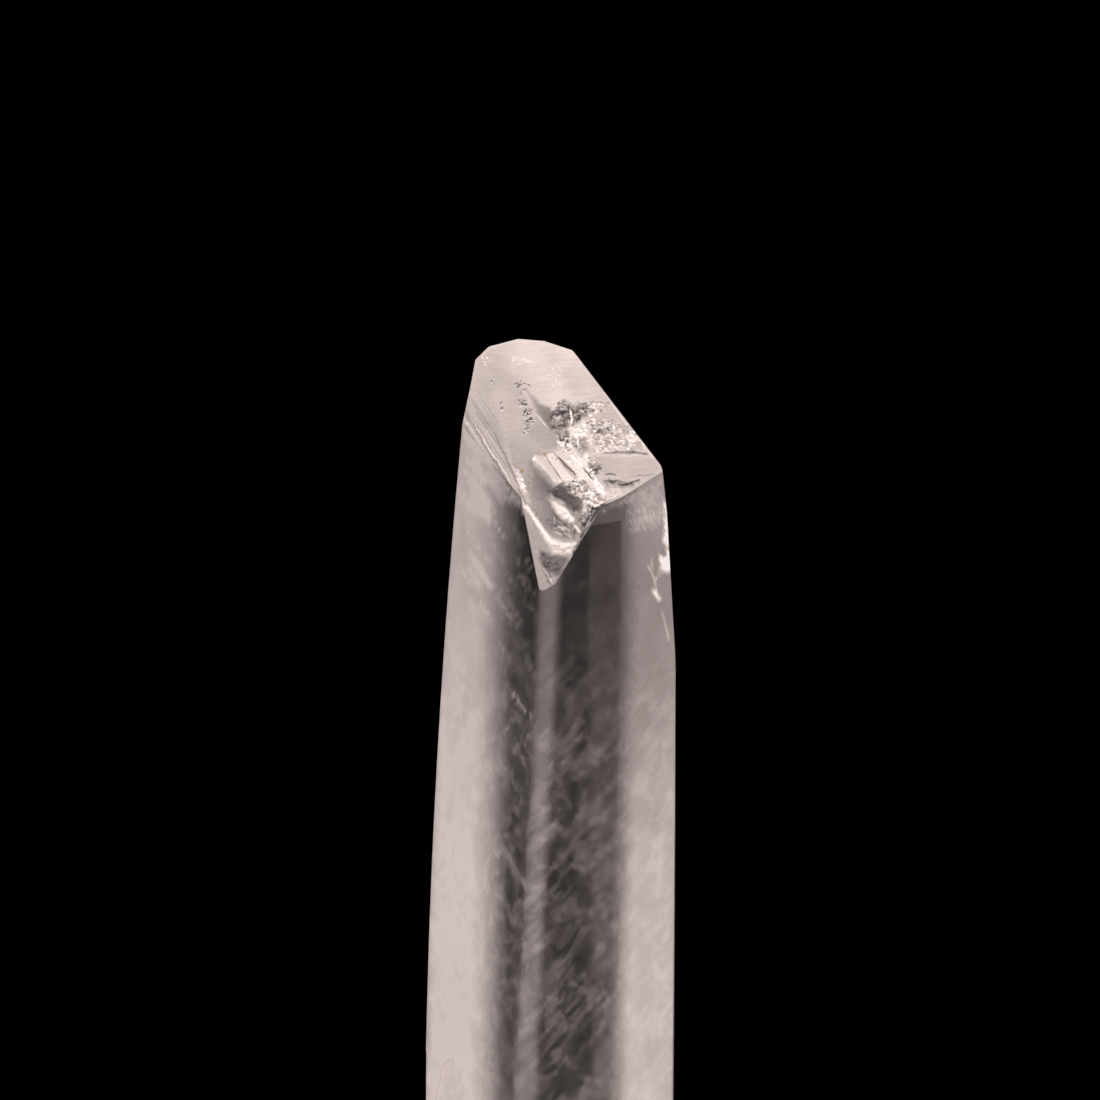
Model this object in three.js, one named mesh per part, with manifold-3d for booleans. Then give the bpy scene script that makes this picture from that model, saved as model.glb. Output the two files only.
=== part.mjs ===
// A single nifontovite crystal: a clear, colourless, tapering prism with a slanted end.
// Millimetres, +Z along the crystal's long axis, the narrow front edge face towards -Y.
// The origin is the middle of the flat base, where the crystal was cut from its rock.
import * as THREE from "three";
import { mergeVertices } from "three/addons/utils/BufferGeometryUtils.js";
import Module from "manifold-3d";

const wasm = await Module();
wasm.setup();

// ---------------------------------------------------------------- driving dimensions

const FOOT = 37.2; // height of the lowest point of the slanted end, on the front edge face
const CREST = 7.6; // how far the raw column is drawn above that point, before the end is cut
const SHOULDER = FOOT + 5; // height at which the column starts to widen downwards
const RINGS = 12; // cross-sections from the base to the top of the raw column

// The column's long edges, anticlockwise from above. Each runs from its place at the shoulder
// to its place at the base, and stands out by `bow` halfway, because the prism widens fastest
// near its end. The front edge face is near y = 0.
const EDGES = {
  frontLeft: { tip: [-0.24, 0], base: [-2.0, 0.05], bow: [0, 0] },
  frontRight: { tip: [0.3, 0], base: [-1.12, 0], bow: [0, 0] },
  rightFront: { tip: [2.68, 0.78], base: [2.05, 0.82], bow: [0.1, 0] },
  right: { tip: [4.71, 1.85], base: [4.82, 2.1], bow: [0.05, 0] },
  rightBack: { tip: [4.71, 2.45], base: [4.92, 3.1], bow: [0.04, 0] },
  backRight: { tip: [0.45, 6.92], base: [0.95, 7.95], bow: [0.05, 0.25] },
  backLeft: { tip: [-1.3, 7.26], base: [-1.9, 8.2], bow: [-0.1, 0.27] },
  leftBack: { tip: [-2.88, 7.02], base: [-4.25, 7.3], bow: [-0.3, 0.25] },
  left: { tip: [-3.4, 4.4], base: [-5.25, 4.9], bow: [-0.48, 0.1] },
};

// The slanted end rises 0.587 per mm of depth and 0.126 per mm to the right, which leaves it
// 59 degrees from the long axis, and it would meet the front edge face this far above the foot.
const END_LIFT = 2.74;
const END_RISE_BACK = 0.587;
const END_RISE_RIGHT = 0.126;

const AXIS = new THREE.Vector2(0.2, 3.8); // the middle of the column near its end
const CUTTER = 9; // height of the blocks that cut small notches
const HALF_SPACE = 60; // edge of the blocks that cut whole facets

// ---------------------------------------------------------------- solids

/** A closed three.js geometry as a manifold solid. */
function solidOf(geometry) {
  const bare = geometry.clone();
  bare.deleteAttribute("normal");
  bare.deleteAttribute("uv");
  const merged = mergeVertices(bare, 1e-5);
  return new wasm.Manifold(
    new wasm.Mesh({
      numProp: 3,
      vertProperties: merged.attributes.position.array,
      triVerts: new Uint32Array(merged.index.array),
    }),
  );
}

/** A manifold solid as a three.js geometry with flat faces. */
function geometryOf(solid) {
  const mesh = solid.getMesh();
  const geometry = new THREE.BufferGeometry();
  geometry.setAttribute("position", new THREE.BufferAttribute(mesh.vertProperties, 3));
  geometry.setIndex(new THREE.BufferAttribute(mesh.triVerts, 1));
  return geometry;
}

/** Seeded random numbers from 0 to 1, so that every build is the same. */
function randomStream(seed) {
  let state = seed;
  return () => {
    state = (Math.imul(state, 1664525) + 1013904223) >>> 0;
    return state / 4294967296;
  };
}

// ---------------------------------------------------------------- the column

/** How far down the taper a height lies: 0 at the shoulder and above, 1 at the base. */
function taperAt(z) {
  return THREE.MathUtils.clamp((SHOULDER - z) / SHOULDER, 0, 1);
}

/** The point of one long edge at a height. */
function edgePoint({ tip, base, bow }, z) {
  const t = taperAt(z);
  const swell = 4 * t * (1 - t);
  const place = (axis) => tip[axis] + (base[axis] - tip[axis]) * t + bow[axis] * swell;
  return new THREE.Vector3(place(0), place(1), z);
}

/** The tapering prism, from the base to above the highest point of the end. */
function column() {
  const edges = Object.values(EDGES);
  const count = edges.length;
  const positions = [];
  for (let ring = 0; ring < RINGS; ring += 1) {
    const z = ((FOOT + CREST) * ring) / (RINGS - 1);
    edges.forEach((edge) => positions.push(...edgePoint(edge, z).toArray()));
  }
  const triangles = [];
  for (let ring = 0; ring < RINGS - 1; ring += 1) {
    for (let i = 0; i < count; i += 1) {
      const a = ring * count + i;
      const b = ring * count + ((i + 1) % count);
      triangles.push(a, b, b + count, a, b + count, a + count);
    }
  }
  const top = (RINGS - 1) * count;
  for (let i = 1; i < count - 1; i += 1) {
    triangles.push(0, i + 1, i);
    triangles.push(top, top + i, top + i + 1);
  }
  const geometry = new THREE.BufferGeometry();
  geometry.setAttribute("position", new THREE.Float32BufferAttribute(positions, 3));
  geometry.setIndex(triangles);
  return solidOf(geometry);
}

// ---------------------------------------------------------------- cutting

/** Everything beyond a plane, as a block whose lower face lies on it. */
function beyond(point, outward) {
  const up = new THREE.Vector3(0, 0, 1);
  const block = new THREE.BoxGeometry(HALF_SPACE, HALF_SPACE, HALF_SPACE);
  block.translate(0, 0, HALF_SPACE / 2);
  block.applyQuaternion(new THREE.Quaternion().setFromUnitVectors(up, outward.clone().normalize()));
  block.translate(point.x, point.y, point.z);
  return solidOf(block);
}

/** Everything beyond the plane through three points, on the side that looks away from the axis. */
function beyondThrough(a, b, c) {
  const plane = new THREE.Plane().setFromCoplanarPoints(a, b, c);
  const inside = new THREE.Vector3(AXIS.x, AXIS.y, FOOT - 6);
  const outward = plane.normal.clone().multiplyScalar(-Math.sign(plane.distanceToPoint(inside)));
  return beyond(a, outward);
}

/**
 * A tilted cutter for a shallow step: an oblong with irregular corners, whose floor is flush
 * along its near side and sinks to `depth` along its far side, where it leaves a small cliff.
 */
function flakeCutter(length, width, depth, random) {
  const corners = 7;
  const outline = [];
  for (let i = 0; i < corners; i += 1) {
    const angle = (2 * Math.PI * (i + 0.5 * random())) / corners;
    const reach = 0.42 + 0.16 * random();
    outline.push(new THREE.Vector2(length * reach * Math.cos(angle), width * reach * Math.sin(angle)));
  }
  const flake = new THREE.ExtrudeGeometry(new THREE.Shape(outline), {
    depth: CUTTER,
    bevelEnabled: false,
  });
  flake.translate(0, width / 2, 0);
  return flake.rotateX(-Math.atan2(depth, width));
}

/** A shell-shaped cutter with facets, for a hollow or a chip, given by its three half-widths. */
function shellCutter(halfU, halfV, halfDepth, detail = 1) {
  return new THREE.IcosahedronGeometry(1, detail).scale(halfU, halfV, halfDepth);
}

/** A frame on a face: x to the right, y up the face, z straight out of it. */
function faceFrame(origin, outward, rightHint) {
  const out = outward.clone().normalize();
  const right = rightHint.clone().addScaledVector(out, -rightHint.dot(out)).normalize();
  const up = new THREE.Vector3().crossVectors(out, right);
  return new THREE.Matrix4().makeBasis(right, up, out).setPosition(origin);
}

/** A cutter turned in its face's plane and moved to its place there, as a solid. */
function placed(cutter, frame, [u, v, lift = 0], turnDegrees = 0) {
  cutter.rotateZ(THREE.MathUtils.degToRad(turnDegrees));
  cutter.translate(u, v, lift);
  cutter.applyMatrix4(frame);
  return solidOf(cutter);
}

// ---------------------------------------------------------------- the slanted end

const END_ORIGIN = new THREE.Vector3(0, 0, FOOT + END_LIFT);
const END_OUTWARD = new THREE.Vector3(-END_RISE_RIGHT, -END_RISE_BACK, 1);
const END = faceFrame(END_ORIGIN, END_OUTWARD, new THREE.Vector3(1, 0, 0));

/** A point of the slanted end from its place on it, in mm to the right and up the slope. */
function onEnd(u, v) {
  return new THREE.Vector3(u, v, 0).applyMatrix4(END);
}

/** The break that slants steeply down to the foot, in its own frame from its upper edge. */
const BREAK_LEFT = onEnd(-1.3, 1.3);
const BREAK_RIGHT = onEnd(1.85, 0.75);
const BREAK_FOOT = new THREE.Vector3(-0.15, 0, FOOT);
const BREAK_TOP = onEnd(0.27, 1.03);
const BREAK = faceFrame(
  BREAK_TOP,
  new THREE.Plane().setFromCoplanarPoints(BREAK_LEFT, BREAK_FOOT, BREAK_RIGHT).normal,
  new THREE.Vector3(1, 0, 0),
);

/** The facets that close the crystal: the slanted end and the smaller faces round it. */
function endFacets() {
  const leftShoulder = new THREE.Vector3(-3.45, 4.4, FOOT + 4.6);
  const rightShoulder = new THREE.Vector3(4.7, 2.0, FOOT - 1.4);
  const backShoulder = new THREE.Vector3(3.1, 4.75, FOOT - 7);
  const rightCorner = onEnd(4.33, 1.64);
  const rightBackCorner = onEnd(4.15, 2.36);
  return [
    beyond(END_ORIGIN, END_OUTWARD),
    beyondThrough(onEnd(-1.95, 5.6), onEnd(-1.21, 1.49), leftShoulder),
    beyondThrough(BREAK_LEFT, BREAK_RIGHT, BREAK_FOOT),
    beyondThrough(rightCorner, rightBackCorner, rightShoulder),
    beyondThrough(rightBackCorner, onEnd(1.25, 6.96), backShoulder),
    beyond(onEnd(0.8, 7.68), new THREE.Vector3(0.45, 0.85, 0.55)),
    beyond(onEnd(-2.72, 7.8), new THREE.Vector3(-0.8, 0.72, 0.4)),
  ];
}

/** Long thin plates and ledges that end in small cliffs across the slanted end. */
function endLedges() {
  const random = randomStream(31);
  const ledges = [
    // [length, width, depth], [right, up the slope], turn
    [[1.8, 1.2, 0.2], [2.7, 1.72], 3],
    [[2.3, 0.7, 0.17], [2.75, 0.92], -2],
    [[1.1, 0.45, 0.1], [3.1, 2.9], -4],
    [[1.9, 0.62, 0.2], [-0.4, 2.1], -43],
    [[1.7, 0.46, 0.24], [0.18, 2.2], -52],
    [[1.6, 0.36, 0.18], [0.55, 2.36], -56],
    [[1.9, 0.8, 0.09], [-0.6, 4.8], -57],
    [[1.5, 0.7, 0.05], [0.2, 6.3], -40],
    [[2.2, 1.2, 0.07], [1.45, 4.2], -8],
    [[1.3, 0.8, 0.12], [-1.1, 2.6], -66],
  ];
  return ledges.map(([size, place, turn]) =>
    placed(flakeCutter(...size, random), END, place, turn),
  );
}

/** The broken hollows down the middle of the end. */
function endHollows() {
  const hollows = [
    // [half-widths], [right, up the slope, lift], turn
    [[0.78, 0.4, 0.5], [0.36, 1.2, 0.14], -47],
    [[0.5, 0.3, 0.2], [0.95, 1.75, 0.06], -20],
    [[0.5, 0.32, 0.2], [1.0, 3.35, 0.06], -30],
    [[0.42, 0.26, 0.2], [0.95, 4.3, 0.06], 20],
    [[0.5, 0.24, 0.16], [0.62, 5.05, 0.05], 5],
    [[0.46, 0.24, 0.16], [1.55, 4.95, 0.05], 5],
    [[0.52, 0.26, 0.16], [1.72, 3.85, 0.04], 10],
    [[0.22, 0.8, 0.12], [-0.9, 4.95, 0.06], 8],
  ];
  return hollows.map(([halves, place, turn]) => placed(shellCutter(...halves), END, place, turn));
}

/** The shell-shaped scoops of the steep break, each with a raised rim, down to its lip. */
function breakScoops() {
  const scoops = [
    // [half-widths], [right, up the break, lift], turn
    [[0.95, 2.3, 0.9], [-0.5, -1.0, 0.7], 33],
    [[0.8, 1.5, 0.8], [0.62, -0.55, 0.6], 46],
    [[0.55, 1.15, 0.6], [0.3, -1.45, 0.46], 58],
    [[0.95, 1.1, 0.7], [-0.25, -2.35, 0.55], 22],
    [[0.8, 0.6, 0.6], [-0.4, -3.15, 0.5], 0],
    [[0.9, 0.6, 0.6], [1.15, -0.1, 0.47], 28],
  ];
  return scoops.map(([halves, place, turn]) => placed(shellCutter(...halves, 2), BREAK, place, turn));
}

/** Small random breaks in the sparkling strip that crosses the end from its middle to the right. */
function endRubble() {
  const random = randomStream(7);
  const between = (low, high) => low + (high - low) * random();
  const strips = [
    // [left, right, low, high, how many]
    [0.1, 1.7, 4.75, 5.3, 12],
    [0.5, 2.0, 3.3, 4.7, 16],
    [2.1, 2.9, 2.95, 3.6, 9],
    [0.9, 1.9, 1.1, 2.3, 9],
    [1.5, 3.5, 0.85, 1.2, 7],
    [-1.05, -0.7, 4.3, 6.1, 6],
  ];
  const cutters = [];
  strips.forEach(([left, right, low, high, count]) => {
    for (let i = 0; i < count; i += 1) {
      const size = [between(0.3, 0.7), between(0.18, 0.36), between(0.06, 0.16)];
      const place = [between(left, right), between(low, high)];
      cutters.push(placed(flakeCutter(...size, random), END, place, between(-60, 60)));
    }
  });
  return cutters;
}

// ---------------------------------------------------------------- the prism faces

/** The frame of one prism face at a height, x along its width and y up the crystal. */
function prismFrame(fromName, toName, z) {
  const from = edgePoint(EDGES[fromName], z);
  const to = edgePoint(EDGES[toName], z);
  const above = edgePoint(EDGES[fromName], z + 1);
  const along = to.clone().sub(from);
  const up = above.sub(from);
  const outward = new THREE.Vector3().crossVectors(along, up);
  return faceFrame(from.add(to).multiplyScalar(0.5), outward, along);
}

/** Growth steps: shallow terraces where one layer of the face stopped short of the next. */
function growthSteps() {
  const random = randomStream(52);
  const steps = [
    // [face from, face to, height, [length, width, depth], place on the face, turn]
    ["left", "frontLeft", 32.2, [3.2, 0.9, 0.05], [1.2, 0], -38],
    ["left", "frontLeft", 24.5, [4.2, 1.1, 0.06], [0.7, 0], -52],
    ["left", "frontLeft", 10, [8, 1.6, 0.07], [-0.8, 0], 84],
    ["rightFront", "right", 38.5, [2.0, 0.7, 0.09], [0.1, 0], 6],
    ["rightFront", "right", 37.6, [1.7, 0.6, 0.07], [-0.1, 0], -8],
    ["frontRight", "rightFront", 26, [2.4, 1.1, 0.04], [0.5, 0], 24],
    ["frontRight", "rightFront", 8, [9, 1.3, 0.06], [1.1, 0], 91],
    ["rightBack", "backRight", 31, [12, 1.8, 0.07], [-1.2, 0], 88],
    ["rightBack", "backRight", 25, [10, 1.2, 0.06], [1.0, 0], -91],
    ["rightBack", "backRight", 16, [3.4, 1.8, 0.09], [0.2, 0], 14],
    ["rightBack", "backRight", 7, [11, 1.6, 0.12], [-1.5, 0], 92],
    ["backRight", "backLeft", 31, [2.4, 1.5, 0.08], [0, 0], -12],
    ["backRight", "backLeft", 13, [11, 1.3, 0.1], [0.6, 0], 89],
    ["backLeft", "leftBack", 28, [9, 1.1, 0.07], [0.2, 0], 91],
    ["backLeft", "leftBack", 11, [8, 1.2, 0.1], [-0.3, 0], -88],
    ["leftBack", "left", 33, [8, 1.1, 0.08], [-0.4, 0], 88],
    ["leftBack", "left", 21, [2.6, 1.6, 0.08], [0.1, 0], 18],
    ["leftBack", "left", 9, [9, 1.3, 0.1], [0.4, 0], -90],
  ];
  return steps.map(([from, to, z, size, place, turn]) =>
    placed(flakeCutter(...size, random), prismFrame(from, to, z), place, turn),
  );
}

/** Shallow chips knocked out of the long edges, with the bruise at the right shoulder. */
function edgeChips() {
  const random = randomStream(90);
  const chips = [
    // [edge, height, length along the edge, depth]
    ["right", 38.6, 1.2, 0.05],
    ["right", 36.6, 0.9, 0.04],
    ["rightBack", 36.0, 1.0, 0.06],
    ["left", 40.6, 1.0, 0.07],
    ["left", 30.4, 1.2, 0.06],
    ["left", 8, 1.8, 0.12],
    ["frontLeft", 31.2, 0.7, 0.04],
    ["frontRight", 14.5, 1.0, 0.06],
    ["rightBack", 20, 1.6, 0.12],
    ["rightBack", 6.5, 2.0, 0.2],
    ["backRight", 35.2, 1.3, 0.14],
    ["backRight", 11, 2.0, 0.2],
    ["backLeft", 24.5, 1.8, 0.16],
    ["backLeft", 4.2, 2.2, 0.28],
    ["leftBack", 37.4, 1.2, 0.12],
    ["leftBack", 16.8, 2.0, 0.16],
    ["left", 3.4, 2.2, 0.26],
  ];
  return chips.map(([edge, z, length, depth]) => {
    const at = edgePoint(EDGES[edge], z);
    const outward = new THREE.Vector3(at.x - AXIS.x, at.y - AXIS.y, 0.3 * (random() - 0.5));
    const right = new THREE.Vector3(-outward.y, outward.x, 0);
    const halfDepth = 0.5 * length;
    const shell = shellCutter(0.4 * length, 0.6 * length, halfDepth);
    return placed(shell, faceFrame(at, outward, right), [0, 0, halfDepth - depth], 40 * random());
  });
}

// ---------------------------------------------------------------- the crystal

/** The finished solid, moved so that the middle of its footprint is at the origin. */
function crystalSolid() {
  const cuts = [
    ...endFacets(),
    ...endLedges(),
    ...endHollows(),
    ...breakScoops(),
    ...endRubble(),
    ...growthSteps(),
    ...edgeChips(),
  ];
  const body = cuts.reduce((solid, cutter) => solid.subtract(cutter), column());
  const geometry = geometryOf(body);
  geometry.computeBoundingBox();
  const middle = geometry.boundingBox.getCenter(new THREE.Vector3());
  return geometry.translate(-middle.x, -middle.y, 0);
}

const crystalMaterial = new THREE.MeshStandardMaterial({
  color: 0xe3d6cf,
  roughness: 0.25,
  metalness: 0,
  transparent: true,
  opacity: 0.85,
});

const crystal = new THREE.Mesh(crystalSolid(), crystalMaterial);
crystal.name = "crystal";

const group = new THREE.Group();
group.add(crystal);

export default group;
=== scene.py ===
"""A single nifontovite crystal: a clear, tapering prism whose slanted end is frosted and partly broken.

The prism is cut from a nine-sided column with the same facets as the solid, stepped and chipped on
its long faces and edges. Its end is then scored into small cells, and carved and frosted stroke by
stroke; some strokes paint shade, shadows and highlights into that frost, and the bright bands and
glows on the prism faces are painted light in a pale milky skin.
"""
import math
import random

import bpy
import numpy as np
from mathutils import Matrix, Vector, noise
from mathutils.kdtree import KDTree


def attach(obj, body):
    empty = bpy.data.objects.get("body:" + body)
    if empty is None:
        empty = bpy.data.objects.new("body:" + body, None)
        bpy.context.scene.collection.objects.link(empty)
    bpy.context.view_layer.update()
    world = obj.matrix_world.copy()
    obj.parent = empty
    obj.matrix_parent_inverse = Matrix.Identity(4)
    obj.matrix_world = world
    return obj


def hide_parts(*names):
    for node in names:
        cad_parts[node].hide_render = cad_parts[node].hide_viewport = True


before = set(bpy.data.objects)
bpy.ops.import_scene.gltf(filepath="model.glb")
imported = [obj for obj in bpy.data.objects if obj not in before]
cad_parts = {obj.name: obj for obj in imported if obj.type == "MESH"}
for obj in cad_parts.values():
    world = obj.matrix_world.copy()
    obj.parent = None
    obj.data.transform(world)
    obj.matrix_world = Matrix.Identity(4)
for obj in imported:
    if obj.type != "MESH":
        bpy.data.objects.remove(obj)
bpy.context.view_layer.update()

MM = 0.001
NOISE_SEED = 7
noise.seed_set(NOISE_SEED)  # makes the noise the same at every run

# ------------------------------------------------------------------ sizes, in millimetres

# The column frame has its zero at the front edge face; the part's own zero is under the middle.
SHIFT = np.array([0.165, -4.1015, 0.0])
FOOT = 37.2  # height of the lowest point of the slanted end
CREST = 7.6  # how far the raw column is drawn above that point
SHOULDER = FOOT + 5  # height at which the column starts to widen downwards
RINGS = 45  # cross-sections from the base to the top of the raw column
AXIS = np.array([0.2, 3.8])  # the middle of the column near its end
VIEW_TILT = math.radians(30)  # how steeply the camera looks down
VIEW_DISTANCE = 260.0

# Each long edge, anticlockwise from above: its place at the shoulder, its place at the base, and
# how far it bows out halfway.
EDGES = {
    "front left": ((-0.24, 0.0), (-2.0, 0.05), (0.0, 0.0)),
    "front right": ((0.3, 0.0), (-1.12, 0.0), (0.0, 0.0)),
    "right front": ((2.68, 0.78), (2.05, 0.82), (0.1, 0.0)),
    "right": ((4.71, 1.85), (4.82, 2.1), (0.05, 0.0)),
    "right back": ((4.71, 2.45), (4.92, 3.1), (0.04, 0.0)),
    "back right": ((0.45, 6.92), (0.95, 7.95), (0.05, 0.25)),
    "back left": ((-1.3, 7.26), (-1.9, 8.2), (-0.1, 0.27)),
    "left back": ((-2.88, 7.02), (-4.25, 7.3), (-0.3, 0.25)),
    "left": ((-3.4, 4.4), (-5.25, 4.9), (-0.48, 0.1)),
}

END_CELL = 0.031  # cells of the carved end
SIDE_CELL = 0.06  # cells of the bruised face at the right
SIDE_DEPTH = 4.2  # how far below the foot of the end that face is carved
SHAFT_CELL = 0.14  # cells of the wide face at the left, and of the right one low down
SHAFT_DEPTH = 24.0  # how far below the foot they are finished
HAZE = 0.01  # how hazy the prism faces are elsewhere
RIM = 0.14  # how near to the rim the carving dies out
SAME_WAY = 0.985  # how well two directions agree on one and the same face
EDGE_BEVEL = 0.035
SMOOTH_ANGLE = math.radians(30)  # shading runs over edges that are blunter than this


def unit(vector):
    """The vector at length 1."""
    return np.asarray(vector, float) / np.linalg.norm(vector)


class Face:
    """A flat face with its own directions: `right`, `up` the face and `out` of it."""

    def __init__(self, origin, out, right_hint=(1.0, 0.0, 0.0)):
        self.origin = np.asarray(origin, float)
        self.out = unit(out)
        hint = np.asarray(right_hint, float)
        self.right = unit(hint - self.out * (hint @ self.out))
        self.up = np.cross(self.out, self.right)

    def at(self, u, v):
        """The point that lies u to the right and v up the face."""
        return self.origin + self.right * u + self.up * v

    def height(self, points):
        """How far points stand out of the face."""
        return (points - self.origin) @ self.out


END = Face((0, 0, FOOT + 2.74), (-0.126, -0.587, 1.0))
BREAK_LEFT = END.at(-1.3, 1.3)
BREAK_RIGHT = END.at(1.85, 0.75)
BREAK_FOOT = np.array([-0.15, 0.0, FOOT])
BREAK = Face(END.at(0.27, 1.03), np.cross(BREAK_FOOT - BREAK_LEFT, BREAK_RIGHT - BREAK_LEFT))
INSIDE = np.array([AXIS[0], AXIS[1], FOOT - 6])


def face_through(a, b, c):
    """The face through three points that looks away from the inside of the crystal."""
    normal = np.cross(b - a, c - a)
    return Face(a, normal * -np.sign(normal @ (INSIDE - a)))


FAN = face_through(END.at(-1.95, 5.6), END.at(-1.21, 1.49), np.array([-3.45, 4.4, FOOT + 4.6]))
CORNER = END.at(4.33, 1.64)
CORNER_BACK = END.at(4.15, 2.36)
FACETS = [
    END,
    FAN,
    BREAK,
    face_through(CORNER, CORNER_BACK, np.array([4.7, 2.0, FOOT - 1.4])),
    face_through(CORNER_BACK, END.at(1.25, 6.96), np.array([3.1, 4.75, FOOT - 7])),
    Face(END.at(0.8, 7.68), (0.45, 0.85, 0.55)),
    Face(END.at(-2.72, 7.8), (-0.8, 0.72, 0.4)),
]


# ------------------------------------------------------------------ modelling helpers


def to_metres(point):
    """A point of the column frame in metres in the part's own frame."""
    return Vector((np.asarray(point, float) + SHIFT) * MM)


def deselect():
    """Leaves no object selected."""
    bpy.ops.object.select_all(action="DESELECT")


def edit(piece):
    """Puts a piece alone into edit mode with all of it selected."""
    deselect()
    piece.select_set(True)
    bpy.context.view_layer.objects.active = piece
    bpy.ops.object.mode_set(mode="EDIT")
    bpy.ops.mesh.select_all(action="SELECT")


def leave_edit():
    """Ends the editing of a piece."""
    bpy.ops.object.mode_set(mode="OBJECT")


def points_of(mesh):
    """The vertices of a mesh as an array in millimetres, in the column frame."""
    flat = np.empty(len(mesh.vertices) * 3)
    mesh.vertices.foreach_get("co", flat)
    return flat.reshape(-1, 3) / MM - SHIFT


def place_points(mesh, points):
    """Moves the vertices of a mesh to an array of places in the column frame."""
    mesh.vertices.foreach_set("co", ((points + SHIFT) * MM).ravel())
    mesh.update()


def slice_through(face, discard=False):
    """Cuts what is selected along a face's plane, and closes the cut if what lies beyond goes."""
    bpy.ops.mesh.bisect(
        plane_co=to_metres(face.origin),
        plane_no=Vector(face.out),
        use_fill=discard,
        clear_outer=discard,
        threshold=1e-4 * MM,
    )


def cut_away(piece, cutter):
    """Takes a cutter's shape out of a piece."""
    cut = piece.modifiers.new("cut", "BOOLEAN")
    cut.object = cutter
    cut.operation = "DIFFERENCE"
    cut.solver = "EXACT"
    deselect()
    bpy.context.view_layer.objects.active = piece
    bpy.ops.object.modifier_apply(modifier="cut")
    bpy.data.objects.remove(cutter)


def settle(cutter, face, u, v, lift, turn):
    """Turns a cutter in its face's plane and moves it to its place there."""
    place = face.at(u, v) + face.out * lift
    axes = Matrix(np.array([face.right, face.up, face.out]).T.tolist()).to_4x4()
    turned = Matrix.Rotation(math.radians(turn), 4, "Z")
    cutter.matrix_world = Matrix.Translation(to_metres(place)) @ axes @ turned
    bpy.context.view_layer.update()


# ------------------------------------------------------------------ the crystal's form


def edge_place(name, z):
    """Where a long edge crosses a height."""
    tip, base, bow = (np.array(pair) for pair in EDGES[name])
    t = min(max((SHOULDER - z) / SHOULDER, 0.0), 1.0)
    x, y = tip + (base - tip) * t + bow * 4 * t * (1 - t)
    return np.array([x, y, z])


def prism_face(start_name, end_name, z):
    """The prism face between two long edges, at a height."""
    start, end = edge_place(start_name, z), edge_place(end_name, z)
    above = edge_place(start_name, z + 1)
    return Face((start + end) / 2, np.cross(end - start, above - start), end - start)


RIGHT_SIDE = prism_face("right front", "right", FOOT)
LEFT_SIDE = prism_face("left", "front left", FOOT)


def column():
    """The raw column: a nine-sided cylinder, ringed by cuts and drawn in to its long edges."""
    height = FOOT + CREST
    deselect()
    bpy.ops.mesh.primitive_cylinder_add(
        vertices=len(EDGES), radius=5 * MM, depth=height * MM, location=to_metres((0, 0, height / 2))
    )
    piece = bpy.context.object
    bpy.ops.object.transform_apply()
    edit(piece)
    for ring in range(1, RINGS - 1):
        bpy.ops.mesh.select_all(action="SELECT")
        slice_through(Face((0, 0, height * ring / (RINGS - 1)), (0, 0, 1)))
    leave_edit()
    points = points_of(piece.data)
    turns = np.arctan2(-points[:, 0], points[:, 1]) / (2 * math.pi)
    corners = np.round(turns * len(EDGES)).astype(int) % len(EDGES)
    names = list(EDGES)
    placed = [edge_place(names[corner], point[2]) for corner, point in zip(corners, points)]
    place_points(piece.data, np.array(placed))
    return piece


def facet(piece):
    """Cuts the slanted end and the smaller faces round it."""
    for face in FACETS:
        edit(piece)
        slice_through(face, discard=True)
        leave_edit()


def on_carved_face(center, normal):
    """True for the faces that are carved finely: the end, the fan and the break."""
    flat = max(normal @ END.out, normal @ FAN.out, normal @ BREAK.out)
    return center[2] > FOOT - 0.1 and flat > SAME_WAY


def on_side(side, top, bottom):
    """A pick of the faces of a side, between two depths below the foot of the end."""
    return lambda center, normal: normal @ side.out > SAME_WAY and FOOT - bottom < center[2] <= FOOT - top


on_bruised_face = on_side(RIGHT_SIDE, -math.inf, SIDE_DEPTH)
below_bruises = on_side(RIGHT_SIDE, SIDE_DEPTH, SHAFT_DEPTH)
on_hazy_face = on_side(LEFT_SIDE, -math.inf, SHAFT_DEPTH)


def is_picked(polygon, keep):
    """True if `keep` picks a face by its centre and normal."""
    return bool(keep(np.array(polygon.center) / MM - SHIFT, np.array(polygon.normal)))


def pick_faces(piece, keep):
    """Leaves selected only the faces that `keep` picks by their centre and normal."""
    mesh = piece.data
    edit(piece)
    bpy.ops.mesh.select_mode(type="FACE")
    bpy.ops.mesh.select_all(action="DESELECT")
    leave_edit()
    for polygon in mesh.polygons:
        polygon.select = is_picked(polygon, keep)


def bevel_edges(piece, sharpness, width, segments):
    """Bevels the edges of a piece that are sharper than an angle in degrees."""
    edit(piece)
    bpy.ops.mesh.select_mode(type="EDGE")
    bpy.ops.mesh.select_all(action="DESELECT")
    bpy.ops.mesh.edges_select_sharp(sharpness=math.radians(sharpness))
    bpy.ops.mesh.bevel(offset=width * MM, segments=segments, affect="EDGES")
    leave_edit()


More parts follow.
